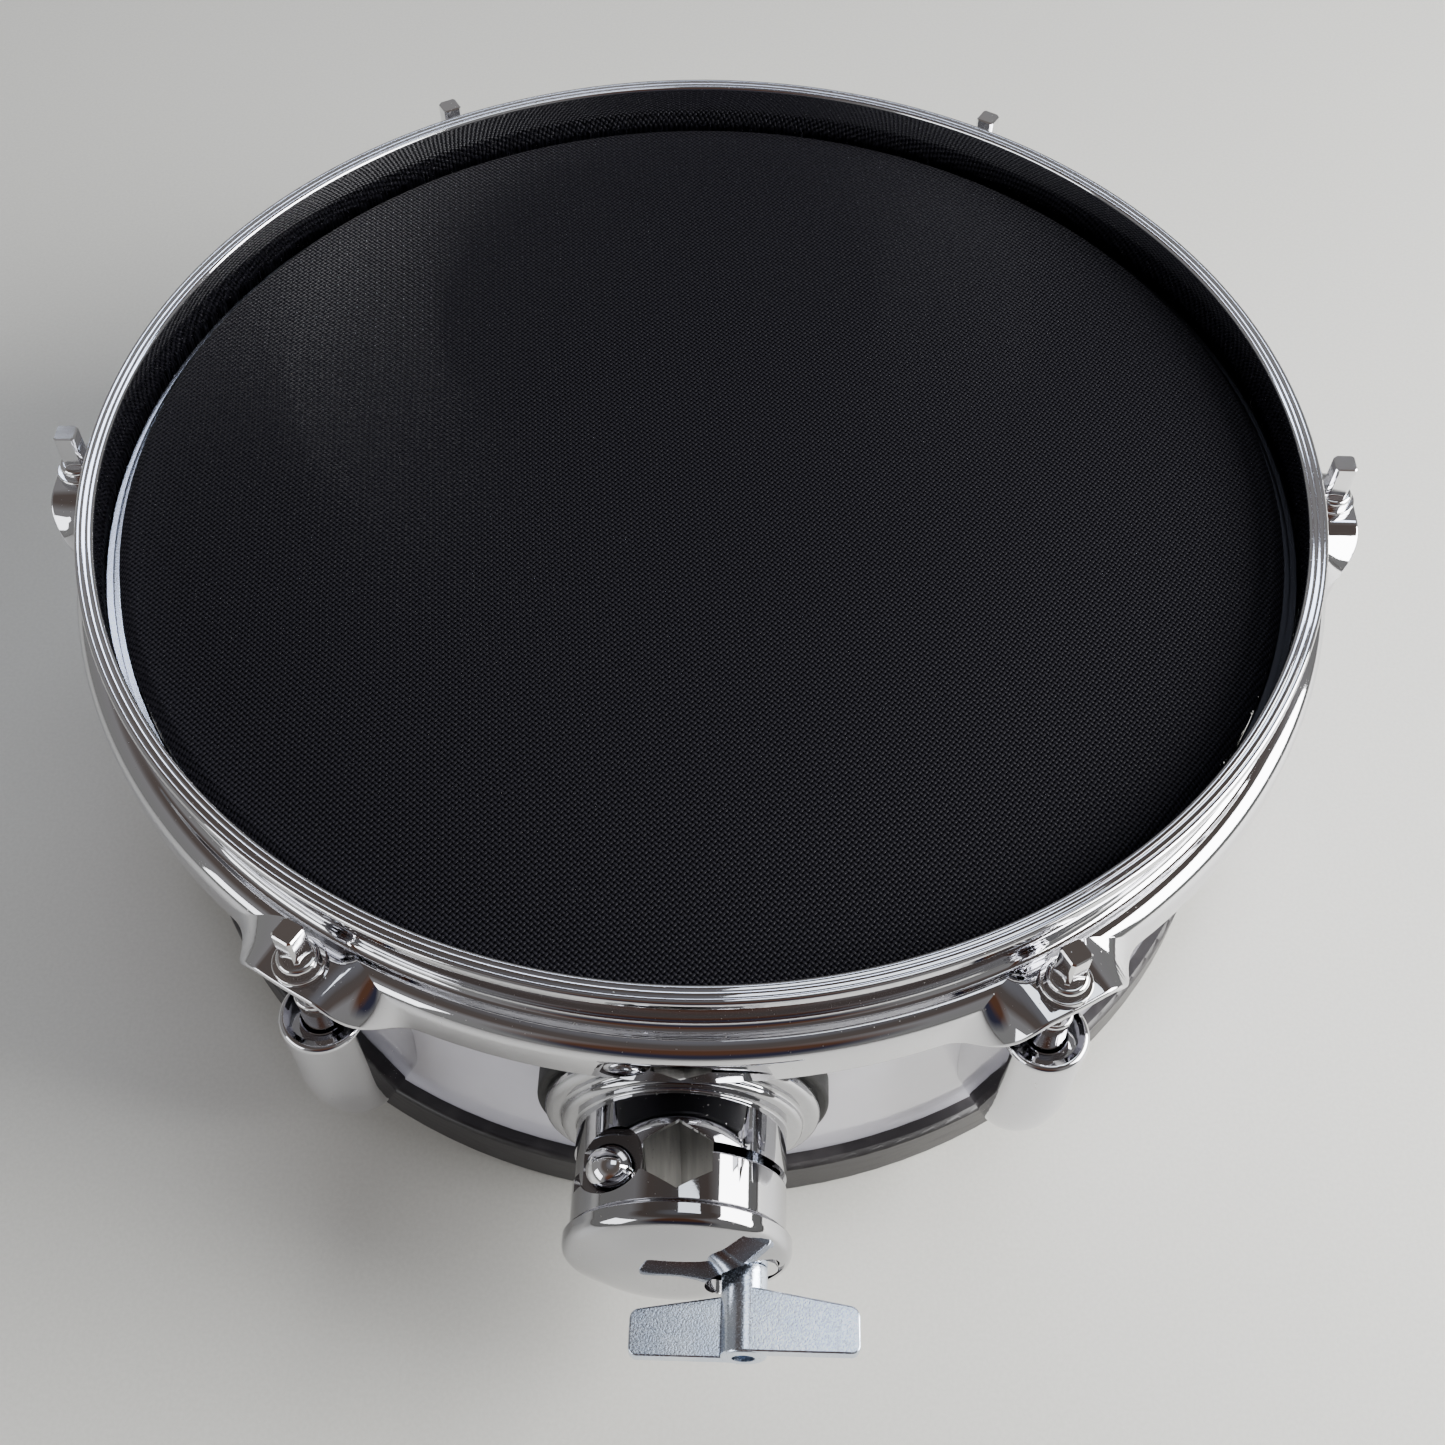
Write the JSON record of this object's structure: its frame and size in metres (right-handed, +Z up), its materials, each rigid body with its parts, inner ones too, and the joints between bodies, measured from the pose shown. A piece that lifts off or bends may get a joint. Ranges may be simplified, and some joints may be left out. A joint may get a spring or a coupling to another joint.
{
  "type": "drum practice pad",
  "caption": "Round mesh-head drum practice pad with a chrome tension hoop, lugs and rods, a glossy shell, a hexagonal rack clamp with a wing bolt, and a trigger inside.",
  "frame": {"origin": "on the drum's axis, at the plane that the bottom trim ring rests on", "axes": "+Z up along the drum's axis, out of the mesh head; -Y towards the rack clamp; +X to the right seen from the clamp"},
  "size_m": [0.3544, 0.3779, 0.122],
  "materials": {
    "shell_wrap": "glossy white wrap with a lilac cast",
    "black_trim": "satin black moulding",
    "mesh": "two-ply woven polyester mesh, black",
    "flesh_hoop_metal": "bright rolled channel",
    "hoop_chrome": "polished chrome plate",
    "lug_chrome": "polished chrome plate on die casting",
    "clamp_chrome": "polished chrome plate on die casting",
    "wing_chrome": "chrome plate over a satin casting",
    "hardware_steel": "chrome-plated steel",
    "zinc_steel": "zinc-plated steel",
    "black_rubber": "matt black rubber",
    "black_foam": "open-cell foam",
    "piezo_brass": "brass disc",
    "black_plastic": "black moulding"
  },
  "bodies": {
    "drum": {"shell": "shell_wrap", "bottom_trim_ring": "black_trim", "mesh_head": "mesh", "flesh_hoop": "flesh_hoop_metal", "lug_screws": "zinc_steel", "lug_screw_washers": "zinc_steel", "clamp_gasket": "black_rubber", "clamp_base": "clamp_chrome", "hinge_pin": "hardware_steel", "clamp_backing_plate": "zinc_steel", "clamp_screws": "zinc_steel", "sensor_bridge": "zinc_steel", "sensor_cushion": "black_foam", "sensor_plate": "zinc_steel", "head_piezo": "piezo_brass", "foam_cone": "black_foam", "rim_piezo": "piezo_brass", "jack_socket": "black_plastic", "jack_plate": "black_plastic", "jack_nut": "hardware_steel", "swivel_nut_1": "hardware_steel", "swivel_nut_2": "hardware_steel", "swivel_nut_3": "hardware_steel", "swivel_nut_4": "hardware_steel", "swivel_nut_5": "hardware_steel", "swivel_nut_6": "hardware_steel", "lug_1": "lug_chrome", "lug_2": "lug_chrome", "lug_3": "lug_chrome", "lug_4": "lug_chrome", "lug_5": "lug_chrome", "lug_6": "lug_chrome"},
    "hoop": {"hoop": "hoop_chrome", "rod_washers": "hardware_steel"},
    "rod_1": {"tension_rod_1": "hardware_steel"},
    "rod_2": {"tension_rod_2": "hardware_steel"},
    "rod_3": {"tension_rod_3": "hardware_steel"},
    "rod_4": {"tension_rod_4": "hardware_steel"},
    "rod_5": {"tension_rod_5": "hardware_steel"},
    "rod_6": {"tension_rod_6": "hardware_steel"},
    "jaw": {"clamp_jaw": "clamp_chrome"},
    "bolt_washer": {"wing_bolt_washer": "hardware_steel"},
    "wing_bolt": {"wing_bolt": "wing_chrome"}
  },
  "joints": [
    {"name": "hoop_lift", "type": "slide", "parent": "drum", "child": "hoop", "axis": [0, 0, 1], "range_m": [0, 0.003]},
    {"name": "rod_1_turn", "type": "hinge", "parent": "hoop", "child": "rod_1", "pos_m": [-0.0836, -0.1448, 0.1], "axis": [0, 0, 1], "range_deg": [0, 1080]},
    {"name": "rod_2_turn", "type": "hinge", "parent": "hoop", "child": "rod_2", "pos_m": [0.0836, -0.1448, 0.1], "axis": [0, 0, 1], "range_deg": [0, 1080]},
    {"name": "rod_3_turn", "type": "hinge", "parent": "hoop", "child": "rod_3", "pos_m": [0.1672, 0, 0.1], "axis": [0, 0, 1], "range_deg": [0, 1080]},
    {"name": "rod_4_turn", "type": "hinge", "parent": "hoop", "child": "rod_4", "pos_m": [0.0836, 0.1448, 0.1], "axis": [0, 0, 1], "range_deg": [0, 1080]},
    {"name": "rod_5_turn", "type": "hinge", "parent": "hoop", "child": "rod_5", "pos_m": [-0.0836, 0.1448, 0.1], "axis": [0, 0, 1], "range_deg": [0, 1080]},
    {"name": "rod_6_turn", "type": "hinge", "parent": "hoop", "child": "rod_6", "pos_m": [-0.1672, 0, 0.1], "axis": [0, 0, 1], "range_deg": [0, 1080]},
    {"name": "jaw_swing", "type": "hinge", "parent": "drum", "child": "jaw", "pos_m": [-0.0152, -0.176, 0.057], "axis": [0, 0, -1], "range_deg": [0, 8]},
    {"name": "bolt_travel", "type": "slide", "parent": "drum", "child": "bolt_washer", "axis": [0, -1, 0], "range_m": [0, 0.00625]},
    {"name": "wing_bolt_turn", "type": "hinge", "parent": "bolt_washer", "child": "wing_bolt", "pos_m": [0.0155, -0.2, 0.057], "axis": [0, -1, 0], "range_deg": [0, 1800]}
  ],
  "couplings": [
    {"joint": "rod_1_turn", "follows": "hoop_lift", "rad_per_m": 6283.1},
    {"joint": "rod_2_turn", "follows": "hoop_lift", "rad_per_m": 6283.1},
    {"joint": "rod_3_turn", "follows": "hoop_lift", "rad_per_m": 6283.1},
    {"joint": "rod_4_turn", "follows": "hoop_lift", "rad_per_m": 6283.1},
    {"joint": "rod_5_turn", "follows": "hoop_lift", "rad_per_m": 6283.1},
    {"joint": "rod_6_turn", "follows": "hoop_lift", "rad_per_m": 6283.1},
    {"joint": "wing_bolt_turn", "follows": "bolt_travel", "rad_per_m": 5026.5},
    {"joint": "jaw_swing", "follows": "bolt_travel", "rad_per_m": 22.34}
  ]
}
